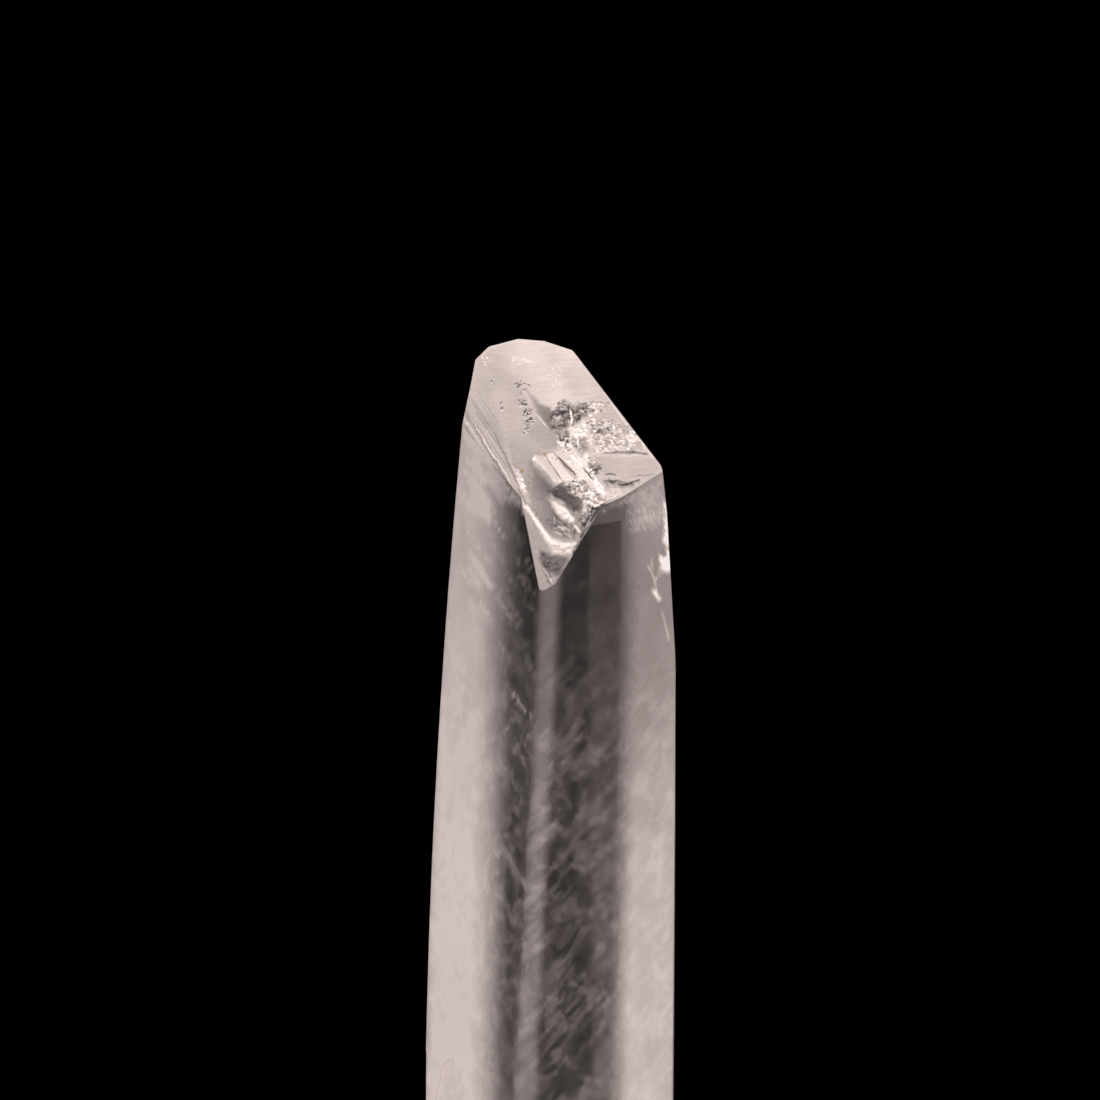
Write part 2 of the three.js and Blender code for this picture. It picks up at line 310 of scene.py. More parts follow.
# Growth steps: where one layer of a prism face stopped short of the next.
STEPS = [
    # face from, face to, height, (length, width, depth), (across, up), turn
    ("left", "front left", 32.2, (3.2, 0.9, 0.03), (1.2, 0), -38),
    ("left", "front left", 24.5, (4.2, 1.1, 0.03), (0.7, 0), -52),
    ("left", "front left", 10, (8, 1.6, 0.07), (-0.8, 0), 84),
    ("front right", "right front", 8, (9, 1.3, 0.06), (1.1, 0), 91),
    ("right back", "back right", 24, (30, 1.6, 0.03), (-1.2, 0), 89),
    ("right back", "back right", 21, (34, 1.2, 0.03), (1.0, 0), -91),
    ("right back", "back right", 7, (11, 1.6, 0.12), (-1.5, 0), 92),
    ("back right", "back left", 13, (11, 1.3, 0.1), (0.6, 0), 89),
    ("back left", "left back", 28, (9, 1.1, 0.07), (0.2, 0), 91),
    ("back left", "left back", 11, (8, 1.2, 0.1), (-0.3, 0), -88),
    ("left back", "left", 33, (8, 1.1, 0.08), (-0.4, 0), 88),
    ("left back", "left", 21, (2.6, 1.6, 0.08), (0.1, 0), 18),
    ("left back", "left", 9, (9, 1.3, 0.1), (0.4, 0), -90),
]

# Shallow chips knocked out of the long edges.
CHIPS = [
    # edge, height, length along the edge, depth
    ("right", 38.6, 1.2, 0.05),
    ("right", 36.6, 0.9, 0.04),
    ("right back", 36.0, 1.0, 0.06),
    ("left", 8, 1.8, 0.12),
    ("right back", 6.5, 2.0, 0.2),
    ("back right", 11, 2.0, 0.2),
    ("back left", 4.2, 2.2, 0.28),
    ("left", 3.4, 2.2, 0.26),
]

FLAKE_SIDES = 7
FLAKE_HEIGHT = 3.0


def flake(length, width, depth, rng):
    """A cutter for a shallow step: flush along one side, and sunk by a depth along the other."""
    deselect()
    bpy.ops.mesh.primitive_cylinder_add(vertices=FLAKE_SIDES, radius=1.0, depth=2.0, location=(0, 0, 0))
    cutter = bpy.context.object
    reach = np.array([0.42 + 0.16 * rng.random() for _ in range(FLAKE_SIDES)])
    tilt = math.atan2(depth, width)
    for vertex in cutter.data.vertices:
        x, y, z = vertex.co
        corner = round(math.atan2(x, y) / (2 * math.pi) * FLAKE_SIDES) % FLAKE_SIDES
        across = width * (y * reach[corner] + 0.5)
        up = FLAKE_HEIGHT if z > 0 else 0.0
        vertex.co = (
            length * x * reach[corner] * MM,
            (across * math.cos(tilt) + up * math.sin(tilt)) * MM,
            (up * math.cos(tilt) - across * math.sin(tilt)) * MM,
        )
    return cutter


def step_faces(piece):
    """Cuts the growth steps into the prism faces."""
    rng = random.Random(52)
    for start, end, z, size, (u, v), turn in STEPS:
        cutter = flake(*size, rng)
        settle(cutter, prism_face(start, end, z), u, v, 0.0, turn)
        cut_away(piece, cutter)


def chip_edges(piece):
    """Knocks the shell-shaped chips out of the long edges."""
    rng = random.Random(90)
    for name, z, length, depth in CHIPS:
        at = edge_place(name, z)
        out = np.array([at[0] - AXIS[0], at[1] - AXIS[1], 0.3 * (rng.random() - 0.5)])
        deselect()
        bpy.ops.mesh.primitive_ico_sphere_add(subdivisions=3, radius=1.0)
        shell = bpy.context.object
        bpy.ops.transform.resize(value=(0.4 * length * MM, 0.6 * length * MM, 0.5 * length * MM))
        bpy.ops.object.transform_apply()
        skin = Face(at, out, (-out[1], out[0], 0.0))
        settle(shell, skin, 0.0, 0.0, 0.5 * length - depth, 40 * rng.random())
        cut_away(piece, shell)


def keep_rim_crisp(piece):
    """Keeps shading from running over the rim of the carved end."""
    pick_faces(piece, on_carved_face)
    bpy.ops.object.mode_set(mode="EDIT")
    bpy.ops.mesh.region_to_loop()
    bpy.ops.mesh.mark_sharp()
    leave_edit()


def score(piece, keep, cell):
    """Cuts the faces that `keep` picks into cells, along the slanted end and across it."""
    pick_faces(piece, keep)
    mesh = piece.data
    picked = [corner for polygon in mesh.polygons if polygon.select for corner in polygon.vertices]
    points = points_of(mesh)[picked] - END.origin
    bpy.ops.object.mode_set(mode="EDIT")
    bpy.ops.mesh.hide(unselected=True)
    for direction in (END.right, END.up):
        reach = points @ direction
        for step in np.arange(reach.min() + cell / 2, reach.max(), cell):
            bpy.ops.mesh.select_all(action="SELECT")
            slice_through(Face(END.origin + direction * step, direction))
    bpy.ops.mesh.reveal(select=False)
    leave_edit()


# ------------------------------------------------------------------ carving and frosting

# The crystal's end is finished as seen from in front and above, at places in millimetres to the
# right of the foot of the end and up from it, and carved towards and away from that view.
LOOK = Face((0.19, 0.0, FOOT), (0.0, -math.cos(VIEW_TILT), math.sin(VIEW_TILT)))


def ease(x):
    """A smooth rise from 0 to 1."""
    x = np.clip(x, 0.0, 1.0)
    return x * x * (3 - 2 * x)


def lower_of(a, b, reach):
    """The lower of two surfaces, rounded where they are within reach of each other."""
    blend = np.clip(0.5 + 0.5 * (b - a) / reach, 0.0, 1.0)
    return b + (a - b) * blend - reach * blend * (1 - blend)


def noise_at(points, scale, seed):
    """Three smooth random values for each point, from -1 to 1."""
    start = Vector((seed * 7.3, seed * 3.1, seed * 5.7))
    return np.array([noise.noise_vector(Vector(point) * scale + start) for point in points])


def chips_at(points, size, seed):
    """Heights and tints of a surface that is broken into flat, tilted chips of about a size."""
    start = Vector((seed * 5.1, seed * 2.3, seed * 8.9))
    heights, tints = np.empty(len(points)), np.empty(len(points))
    for i, point in enumerate(points):
        place = Vector(point) / size + start
        middle = noise.voronoi(place)[1][0]
        heights[i] = (place - middle) @ noise.noise_vector(middle * 9.7)
        tints[i] = noise.noise(middle * 13.3)
    return heights * size, tints


class Skin:
    """The carved faces together: what each point is raised by, and how it is finished."""

    def __init__(self, points):
        away = points - LOOK.origin
        nearness = 1 - (away @ LOOK.out) / VIEW_DISTANCE
        wobble = noise_at(points, 2.2, 1) * 0.04 + noise_at(points, 8.0, 2) * 0.03
        self.points = points
        self.x = away @ LOOK.right / nearness + wobble[:, 0]
        self.y = away @ LOOK.up / nearness + wobble[:, 1]
        self.torn = noise_at(points, 5.0, 3)[:, 0] + 0.5 * noise_at(points, 14.0, 4)[:, 0]
        self.lift, self.frost, self.crumble, self.stain = np.zeros((4, len(points)))
        self.haze = np.full(len(points), HAZE)

    def gap(self, start, end):
        """How far each point lies from a straight line, and how far along that line it is."""
        step = np.subtract(end, start)
        x, y = self.x - start[0], self.y - start[1]
        t = np.clip((x * step[0] + y * step[1]) / (step @ step), 0, 1)
        return np.hypot(x - t * step[0], y - t * step[1]), t

    def along(self, places, radii, soft=1.0):
        """How much each point belongs to a line through places, as thick as its radii."""
        radii = np.broadcast_to(radii, len(places))
        belongs = np.zeros(len(self.x))
        for start, end, thick, thin in zip(places, places[1:], radii, radii[1:]):
            gap, t = self.gap(start, end)
            belongs = np.maximum(belongs, ease((1 - gap / (thick + (thin - thick) * t)) / soft))
        return belongs

    def patch(self, corners, soft, ragged=0.0):
        """How much each point belongs to a patch with straight sides."""
        nearest = np.full(len(self.x), np.inf)
        inside = np.zeros(len(self.x), bool)
        for start, end in zip(corners, corners[1:] + corners[:1]):
            nearest = np.minimum(nearest, self.gap(start, end)[0])
            crosses = (start[1] > self.y) != (end[1] > self.y)
            slope = (end[0] - start[0]) / (end[1] - start[1]) if end[1] != start[1] else 0.0
            inside ^= crosses & (self.x < start[0] + (self.y - start[1]) * slope)
        return ease(0.5 + (np.where(inside, nearest, -nearest) + ragged * self.torn) / soft)

    def ramp(self, start, end):
        """How far each point is on the way from start to end, from 0 to 1."""
        step = np.subtract(end, start)
        return np.clip(((self.x - start[0]) * step[0] + (self.y - start[1]) * step[1]) / (step @ step), 0, 1)

    def paint(self, belongs, lift=0.0, **finish):
        """Changes the height and the finish where points belong."""
        for name, value in finish.items():
            layer = getattr(self, name)
            layer += (value - layer) * belongs
        self.lift += lift * belongs

    def fill(self, corners, soft, ragged=0.0, within=1.0, **finish):
        """Finishes a patch with straight sides."""
        self.paint(within * self.patch(corners, soft, ragged), **finish)

    def stroke(self, places, radii, soft=1.0, within=1.0, **finish):
        """Finishes a line through places, as thick as its radii."""
        self.paint(within * self.along(places, radii, soft), **finish)

    def line(self, places, radius, frost, lift):
        """A crack or a thin bright edge through places, thinner towards its ends."""
        thickness = radius * (0.3 + 0.7 * np.sin(np.linspace(0, math.pi, 4)))
        reach = np.linspace(0, len(places) - 1, 4)
        spread = [np.interp(reach, range(len(places)), values) for values in zip(*places)]
        self.stroke(list(zip(*spread)), thickness, 0.7, frost=frost, lift=lift)


def depth_of(face, skin):
    """How near to the view a face's plane lies, at each point of the skin."""
    away = skin.points - LOOK.origin
    drop = face.height(skin.points) / (face.out @ LOOK.out)
    return away @ LOOK.out - drop


def round_off(skin):
    """Rounds the ridges between the end, the fan and the break."""
    end, fan, steep = (depth_of(face, skin) for face in (END, FAN, BREAK))
    flat = np.minimum(np.minimum(end, fan), steep)
    rounded = lower_of(lower_of(end, steep, 0.9), fan, 0.25)
    skin.lift += rounded - flat
    return ease((end - fan) / 0.12), ease((end - steep) / 0.3) * (fan > steep - 0.1)


def draw_grounds(skin, fan, steep):
    """The broad grounds: the pale end, the fan with its streaks, whose gray is partly painted shade, and the
    gray break.
    """
    skin.frost += 0.92
    left = [(-4.64, 10.94), (-2.05, 9.23), (-1.1, 7.45), (-0.15, 5.62), (-1.22, 2.39), (-5.02, 2.39)]
    skin.fill(left, 1.6, frost=0.78)
    right = [(1.22, 6.95), (3.34, 6.95), (4.86, 4.48), (1.82, 3.15), (1.25, 5.24)]
    skin.fill(right, 0.9, frost=0.8)
    skin.fill([(0.15, 8.21), (1.82, 8.21), (2.51, 7.07), (0.38, 7.14)], 0.9, frost=0.84)
    top, low = (-3.38, 6.38), (-0.76, 2.24)
    step = unit(np.subtract(low, top))
    across = (skin.x - top[0]) * step[1] - (skin.y - top[1]) * step[0]
    run = (skin.x - top[0]) * step[0] + (skin.y - top[1]) * step[1]
    grooves = np.array([
        noise.noise(Vector((a * 5, r * 0.3, 0))) + 0.6 * noise.noise(Vector((a * 15, r * 0.5, 4)))
        for a, r in zip(across, run)
    ])
    # partly painted shade: the lower fan, a facet turned away from the light, is painted grayer; its streaks
    # are its own
    low_part = fan * ease((8.2 - skin.y) / 3.0)
    skin.lift += low_part * grooves * 0.03
    skin.frost += low_part * (0.61 + 0.34 * grooves - skin.frost)
    skin.line([(-3.27, 6.42), (-2.36, 4.94), (-1.29, 3.38)], 0.06, 0.92, 0.01)
    skin.line([(-2.39, 5.93), (-1.9, 4.86), (-1.37, 3.65)], 0.07, 0.52, -0.02)
    skin.line([(-2.85, 5.55), (-2.13, 4.41), (-1.52, 3.57)], 0.05, 0.56, -0.01)
    skin.paint(steep, frost=0.55)


def draw_smooth_middle(skin):
    """The smooth broken ground that runs down the middle into the trough."""
    facet = [(-1.98, 5.97), (-1.18, 5.7), (-0.42, 5.09), (-0.84, 4.98), (-0.99, 4.56), (-1.06, 3.65),
             (-1.63, 4.56)]
    skin.fill(facet, 0.08, frost=0.75 - 0.12 * skin.ramp((-1.75, 5.78), (-1.37, 4.1)))
    shade = [(-1.14, 5.78), (-0.76, 6.61), (0.0, 6.08), (0.15, 5.4), (-0.42, 5.13)]
    skin.fill(shade, 0.35, frost=0.68)
    trough = [(-0.95, 4.79), (-0.57, 4.48), (-0.04, 3.88), (-0.27, 3.42), (0.0, 3.04), (0.53, 2.43),
              (0.3, 1.98), (-0.27, 2.13), (-0.8, 2.81), (-1.06, 3.57)]
    skin.fill(trough, 0.5, frost=0.45 - 0.16 * skin.ramp((-0.99, 3.72), (-0.23, 3.88)), lift=-0.17)
    # painted shadow: a wedge darkening towards its lower right
    painted_wedge_shadow = [(-1.14, 7.52), (-0.61, 6.99), (0.04, 6.69), (0.15, 6.16), (-0.23, 6.0), (-0.68, 6.61)]
    skin.fill(painted_wedge_shadow, 0.22, frost=0.66 - 0.3 * skin.ramp((-0.99, 7.3), (-0.08, 6.46)), lift=-0.02)
    skin.line([(-0.84, 6.65), (-0.57, 6.35), (-0.3, 6.0)], 0.04, 0.95, 0.01)


def dash(x, y, lean, length):
    """The two ends of a short straight line."""
    return [(x, y), (x + length * math.cos(lean), y + length * math.sin(lean))]


def near(rng, middle, spread):
    """A random place within a spread of a middle."""
    return middle[0] + rng.uniform(-spread[0], spread[0]), middle[1] - rng.uniform(-spread[1], spread[1])


def draw_scar(skin):
    """A faint line of small dark nicks at the left, each with a painted highlight beside it, and a few painted
    white glints near the top.
    """
    rng = random.Random(31)
    scar = [(-1.48, 7.68), (-1.29, 7.07), (-1.14, 6.38), (-1.18, 5.89)]
    skin.stroke(scar, (0.14, 0.16, 0.24, 0.08), frost=0.74, crumble=0.35)
    dark = [
        # middle, spread, how many, frost
        ((-1.37, 7.64), (0.23, 0.15), 12, 0.45),
        ((-1.37, 7.03), (0.11, 0.11), 9, 0.3),
        ((-1.14, 6.5), (0.15, 0.23), 22, 0.2),
        ((-1.22, 6.0), (0.08, 0.15), 9, 0.32),
        ((-2.43, 7.79), (0.11, 0.11), 4, 0.45),
        ((-2.13, 6.88), (0.04, 0.11), 4, 0.4),
    ]
    for middle, spread, count, frost in dark:
        for _ in range(count):
            x, y = near(rng, middle, spread)
            lean, length = rng.uniform(-0.5, 1.4), rng.uniform(0.057, 0.19)
            skin.line(dash(x, y, lean, length), rng.uniform(0.025, 0.045), frost, -0.03)
            # a painted highlight just below each nick
            skin.line(dash(x, y - 0.057, lean, length), 0.025, 0.95, 0.01)
    # painted glints near the top
    white = [
        # middle, spread, how many
        ((-1.37, 8.63), (0.34, 0.15), 16),
        ((-0.19, 8.09), (0.3, 0.38), 14),
        ((-2.77, 8.66), (0.11, 0.15), 4),
    ]
    for middle, spread, count in white:
        for _ in range(count):
            nick = dash(*near(rng, middle, spread), rng.uniform(-1.3, 0.3), rng.uniform(0.038, 0.171))
            skin.line(nick, rng.uniform(0.02, 0.035), rng.uniform(0.98, 1.2), 0.01)


def draw_rubble(skin):
    """The sparkling broken strip that crosses the end from its middle to the right."""
    heaps = [
        # corners, softness, raggedness, frost, crumble, lift
        ([(-0.23, 6.76), (0.15, 7.07), (0.53, 7.03), (0.95, 6.95), (1.44, 7.03), (1.22, 6.69), (0.95, 6.46),
          (0.8, 6.27), (0.49, 6.16), (0.23, 5.85), (-0.11, 6.08), (-0.3, 6.42)], 0.3, 0.15, 0.44, 0.85, -0.05),
        ([(1.18, 7.03), (1.98, 7.03), (1.82, 6.73), (1.22, 6.61)], 0.2, 0.15, 0.84, 0.9, -0.02),
        ([(0.0, 5.93), (0.61, 6.0), (0.68, 5.4), (0.38, 5.09), (0.04, 5.4)], 0.25, 0.15, 0.7, 1.1, -0.03),
        ([(0.68, 5.81), (1.14, 5.81), (1.22, 5.24), (0.91, 5.02), (0.68, 5.24)], 0.3, 0.1, 0.6, 0.5, -0.05),
        ([(1.22, 6.27), (2.09, 6.35), (2.09, 5.93), (1.29, 5.85)], 0.25, 0.15, 0.68, 1.0, -0.02),
        ([(1.14, 5.85), (2.66, 5.97), (2.81, 5.4), (1.44, 5.17)], 0.3, 0.15, 0.88, 0.75, 0.0),
        ([(1.98, 6.23), (3.04, 6.23), (3.57, 5.47), (2.89, 5.28)], 0.4, 0.2, 0.8, 0.5, 0.0),
        ([(2.51, 5.85), (2.85, 5.97), (3.12, 5.7), (2.81, 5.47)], 0.2, 0.15, 1.08, 0.8, 0.02),
    ]
    for corners, soft, ragged, frost, crumble, lift in heaps:
        skin.fill(corners, soft, ragged, frost=frost, crumble=crumble, lift=lift)
    rng = random.Random(12)
    for _ in range(70):
        x, y = rng.uniform(-0.076, 3.116), rng.uniform(6.992, 5.244)
        splinter = dash(x, y, rng.uniform(-0.6, 1.0), rng.uniform(0.076, 0.228))
        if x < 1.444 or y < 6.384 - 0.3 * (x - 1.444):
            bright = rng.choice((0.3, 1.2, 1.3) if x > 0.836 else (0.18, 0.3, 1.0))
            skin.line(splinter, rng.uniform(0.03, 0.05), bright, 0.02)


def draw_veins(skin):
    """The bright white veins that run down through the rubble."""
    skin.line([(0.49, 6.84), (0.61, 6.54), (0.53, 6.19)], 0.07, 1.25, 0.03)
    skin.line([(0.95, 6.42), (1.06, 6.23), (0.99, 6.0)], 0.1, 1.25, 0.03)
    mass = [(0.53, 6.12), (0.91, 6.23), (1.18, 6.08), (1.1, 5.81), (0.76, 5.74), (0.53, 5.85)]
    skin.fill(mass, 0.2, 0.15, frost=1.15, crumble=0.7, lift=0.02)
    skin.line([(0.53, 5.89), (0.49, 5.59), (0.53, 5.24)], 0.06, 1.2, 0.03)
    skin.line([(0.76, 5.78), (0.84, 5.4), (0.76, 5.17)], 0.05, 1.1, 0.02)
    blob = [(0.46, 5.05), (0.65, 5.24), (0.91, 5.09), (1.22, 5.17), (1.25, 4.9), (0.95, 4.75), (0.61, 4.83)]
    skin.fill(blob, 0.15, 0.12, frost=1.18, crumble=0.5, lift=0.03)
    band = [(0.91, 4.9), (1.18, 4.56), (1.48, 4.07), (1.75, 3.65)]
    skin.stroke(band, (0.2, 0.17, 0.2, 0.22), 0.8, frost=1.12, crumble=0.5, lift=0.04)


def draw_blades(skin):
    """Long flat plates, side by side, each stepping down past its right edge, with painted shade in the dark
    lines along the steps.
    """
    first = [(-0.87, 4.94), (-0.72, 5.05), (0.19, 4.1), (-0.11, 4.03)]
    skin.fill(first, 0.07, frost=0.9, lift=0.07 * skin.ramp((-0.38, 4.79), (-0.68, 4.48)))
    second = [(-0.42, 5.09), (-0.15, 5.17), (0.68, 4.14), (0.23, 4.03)]
    skin.fill(second, 0.06, frost=1.04, lift=0.06 + 0.06 * skin.ramp((0.3, 4.79), (-0.15, 4.48)))
    third = [(0.42, 4.86), (0.95, 4.79), (1.37, 4.14), (0.76, 4.14)]
    skin.fill(third, 0.12, 0.06, frost=0.98, crumble=0.3, lift=0.04)
    # painted shade: dark lines in the grooves along the blades' steps
    skin.line([(-0.46, 5.05), (-0.11, 4.52), (0.19, 4.1)], 0.035, 0.5, -0.02)
    skin.line([(0.0, 5.02), (0.3, 4.75), (0.65, 4.33)], 0.045, 0.3, -0.06)
    skin.line([(0.23, 4.86), (0.53, 4.56), (0.76, 4.18)], 0.035, 0.4, -0.06)
    skin.line([(-0.8, 5.05), (-0.91, 4.86)], 0.06, 1.2, 0.03)
    skin.line([(-0.19, 4.64), (0.19, 4.18)], 0.03, 0.8, -0.02)
    crumbs = [(1.14, 4.79), (1.52, 4.86), (1.71, 4.56), (1.52, 4.26), (1.29, 4.41)]
    skin.fill(crumbs, 0.15, 0.1, frost=0.72, crumble=1.0)
    skin.line([(1.29, 4.41), (1.44, 4.52), (1.71, 4.56)], 0.06, 0.15, -0.05)
    skin.line([(1.03, 4.56), (1.22, 4.29), (1.37, 4.07)], 0.05, 0.25, -0.05)


def draw_right(skin):
    """Ledges, plates and the pale strips on the right of the end, with painted shade under the ledge, a
    painted shadow band below the plate and a painted highlight along the rim.
    """
    plate = [(1.48, 5.02), (3.46, 5.05), (3.95, 4.79), (3.8, 4.33), (1.82, 4.37)]
    skin.fill(plate, 0.15, frost=0.79, lift=-0.04 * skin.ramp((2.58, 4.29), (2.58, 5.05)))
    # painted shade: the dark line under the ledge's step
    ledge = [(1.82, 5.13), (2.28, 5.17), (2.89, 5.17), (3.46, 5.09)]
    skin.stroke(ledge, (0.05, 0.08, 0.1, 0.04), frost=0.4, crumble=0.3, lift=-0.04)
    # painted shadow: a dark band below the plate, with darker lines in it
    band = [(1.75, 4.18), (2.28, 4.14), (3.19, 4.1), (2.89, 3.88), (1.9, 3.88)]
    skin.fill(band, 0.15, 0.08, frost=0.6, crumble=0.5, lift=-0.04)
    skin.line([(1.82, 4.33), (2.01, 4.37), (2.24, 4.29)], 0.045, 0.25, -0.04)
    skin.line([(1.9, 4.1), (2.13, 4.03), (2.32, 4.14)], 0.07, 0.3, -0.05)
    skin.line([(2.32, 3.95), (2.66, 3.95), (3.12, 4.1)], 0.07, 0.18, -0.05)
    skin.line([(2.81, 4.26), (3.34, 4.33), (3.8, 4.33)], 0.04, 0.6, -0.02)
    boundary = [(2.89, 3.46), (3.38, 3.76), (3.91, 4.14), (4.1, 4.48)]
    skin.stroke(boundary, (0.05, 0.1, 0.1, 0.05), frost=0.42, crumble=0.5, lift=-0.02)
    strip = [(1.75, 3.76), (2.28, 3.84), (3.12, 3.84), (2.89, 3.53), (1.86, 3.38)]
    skin.fill(strip, 0.12, 0.05, frost=0.83, crumble=0.15, lift=0.02)
    edge = [(1.29, 8.36), (2.28, 7.07), (3.12, 5.93), (3.8, 5.02)]
    skin.stroke(edge, (0.03, 0.14, 0.16, 0.08), 0.8, frost=0.68)
    # a painted highlight along the right rim of the end
    skin.line([(1.75, 7.45), (2.43, 6.5), (3.08, 5.66), (3.72, 4.9)], 0.05, 1.02, 0.0)


def draw_left_chips(skin):
    """The pale chipped line at the lower left, where the fan meets the end."""
    chips = [(-1.67, 4.6), (-1.48, 4.52), (-1.29, 4.18), (-1.06, 3.72), (-1.22, 3.65), (-1.48, 4.14)]
    skin.fill(chips, 0.12, 0.08, frost=0.98, crumble=0.5, lift=0.02)
    skin.stroke([(-1.37, 3.34), (-1.22, 3.08)], (0.08, 0.12), frost=0.98, crumble=0.3)


def draw_hollow(skin):
    """The dark hollow at the top of the break, with the crumbs that stand round it."""
    hollow = [(-0.27, 3.72), (0.15, 3.95), (0.61, 3.76), (0.91, 3.42), (0.95, 3.08), (0.65, 2.96), (0.3, 3.23),
              (-0.08, 3.5)]
    skin.fill(hollow, 0.22, 0.05, frost=0.16, crumble=0.0, lift=-0.26)
    crumbs = [(0.19, 3.91), (0.53, 4.07), (0.95, 4.03), (1.37, 3.72), (1.94, 3.42), (1.52, 3.08), (1.06, 3.08),
              (0.84, 3.46), (0.49, 3.69)]
    skin.fill(crumbs, 0.15, 0.12, frost=0.78, crumble=1.2, lift=0.03)
    rubble = [(0.95, 3.12), (1.6, 3.19), (1.18, 2.66), (0.95, 2.13), (0.72, 2.43)]
    skin.fill(rubble, 0.15, 0.1, frost=0.62, crumble=1.0)


def draw_crest(skin):
    """The bright crest in the middle of the break, painted lighter towards its lower right, and the painted
    shadow on the ground at its foot.
    """
    # painted shadow on the ground at the crest's foot
    shadow = [(-0.11, 2.85), (0.3, 2.55), (0.8, 2.2), (0.68, 1.9), (0.04, 2.05), (-0.38, 2.55)]
    skin.fill(shadow, 0.3, 0.08, frost=0.34, crumble=0.45, lift=-0.05)
    crest = [(-0.34, 3.34), (-0.11, 3.38), (0.3, 3.12), (0.65, 2.77), (0.76, 2.47), (0.46, 2.39), (0.08, 2.7)]
    # painted light: the crest lighter towards its lower right
    brightness = 0.84 + 0.2 * skin.ramp((-0.23, 3.31), (0.23, 2.89))
    skin.fill(crest, 0.2, 0.05, frost=brightness, lift=0.14 + 0.1 * skin.ramp((-0.23, 3.27), (0.46, 2.66)))
    skin.fill([(0.19, 3.0), (0.61, 2.77), (0.72, 2.51), (0.38, 2.47)], 0.15, 0.1, frost=0.98, crumble=0.7)
    skin.line([(0.53, 2.51), (0.76, 2.24), (0.95, 2.05)], 0.08, 0.95, 0.04)
    for ridge in ([(-0.04, 2.39), (0.3, 2.17)], [(0.15, 2.32), (0.46, 2.2)], [(-0.11, 2.17), (0.23, 1.98)],
                  [(0.3, 2.09), (0.57, 1.9)]):
        skin.line(ridge, 0.06, 0.72, 0.03)


def draw_lip(skin):
    """The pale rim of the trough, and the shelf, the gray ground and the lip below it."""
    rim = [(-1.33, 3.23), (-1.06, 3.0), (-0.8, 2.58), (-0.53, 2.13), (-0.23, 1.75), (0.23, 1.6), (0.68, 1.67)]
    skin.stroke(rim, (0.12, 0.17, 0.17, 0.2, 0.24, 0.24, 0.14), frost=1.06, crumble=0.15, lift=0.07)
    shelf = [(-0.46, 1.82), (0.15, 1.63), (0.72, 1.71), (0.53, 1.25), (-0.15, 1.33)]
    skin.fill(shelf, 0.25, 0.08, frost=0.9, crumble=0.3, lift=0.03)
    skin.line([(-0.27, 1.52), (0.15, 1.41), (0.53, 1.56)], 0.05, 0.72, -0.02)
    below = [(-0.68, 1.41), (-0.15, 1.22), (0.42, 1.14), (0.27, 0.65), (0.04, 0.42), (-0.53, 0.68)]
    skin.fill(below, 0.2, 0.06, frost=0.2, crumble=0.2, lift=-0.04)
    lip = [(-0.57, 0.72), (-0.38, 0.53), (-0.15, 0.3), (0.08, 0.42), (0.3, 0.57), (0.23, 0.23), (0.08, -0.08),
           (-0.23, 0.11)]
    skin.fill(lip, 0.18, 0.08, frost=0.37, crumble=0.4, lift=0.03)
    skin.line([(-0.53, 0.72), (-0.3, 0.38), (0.0, 0.0)], 0.09, 0.62, 0.02)
    bare = [(1.82, 3.23), (1.37, 3.0), (1.06, 2.58), (0.84, 1.82), (0.53, 1.06), (0.23, -0.15), (1.82, -0.15)]
    skin.fill(bare, 0.12, 0.12, frost=0.04, crumble=0.2, lift=-0.04)


def draw_hazy_side(skin):
    """Slanting wisps where the painted milky band of light on the wide face at the left ends, and a few
    painted glows.
    """
    rng = random.Random(17)
    for _ in range(60):
        x, y = rng.uniform(-2.204, -0.988), rng.uniform(2.584, -7.296)
        length = rng.uniform(0.228, 0.912)
        wisp = [(x, y), (x + 0.6 * length, y - length)]
        skin.stroke(wisp, rng.uniform(0.02, 0.07), haze=rng.uniform(0.05, 0.18))
    # painted glows: pale milky strokes that stand in for light
    skin.stroke([(-1.79, -3.8), (-1.48, -4.26), (-1.18, -4.71)], (0.05, 0.12, 0.05), haze=0.4)
    skin.stroke([(-1.98, -9.96), (-1.52, -10.79), (-1.06, -11.55)], (0.1, 0.2, 0.1), haze=0.2)
    for _ in range(50):
        x, y = rng.uniform(-3.572, -2.204), rng.uniform(6.384, -0.836)
        length = rng.uniform(0.304, 1.064)
        streak = [(x, y), (x + 0.6 * length, y - length)]
        skin.stroke(streak, rng.uniform(0.05, 0.2), haze=rng.uniform(0.02, 0.5))
    for _ in range(44):
        share, length = rng.random(), rng.uniform(0.532, 1.9)
        x, y = -3.382 + 2.28 * share - rng.uniform(-0.076, 0.684), 6.384 - 2.964 * share
        streak = [(x, y), (x + 0.6 * length, y - 0.8 * length)]
        skin.stroke(streak, rng.uniform(0.03, 0.11), haze=rng.uniform(0.1, 0.7))
    ragged = skin.along([(-1.06, 3.27), (-0.76, 2.2), (-0.53, 1.06), (-0.27, -0.08)], 0.16)
    skin.paint(ragged * ease(0.4 + skin.torn), haze=0.4)
    skin.stroke([(-2.81, 6.23), (-2.66, 5.85)], 0.14, haze=0.66)
    # a painted glow on the wide face
    skin.stroke([(-3.27, 4.1), (-2.89, 3.27), (-2.51, 2.43)], (0.1, 0.5, 0.1), haze=0.6)


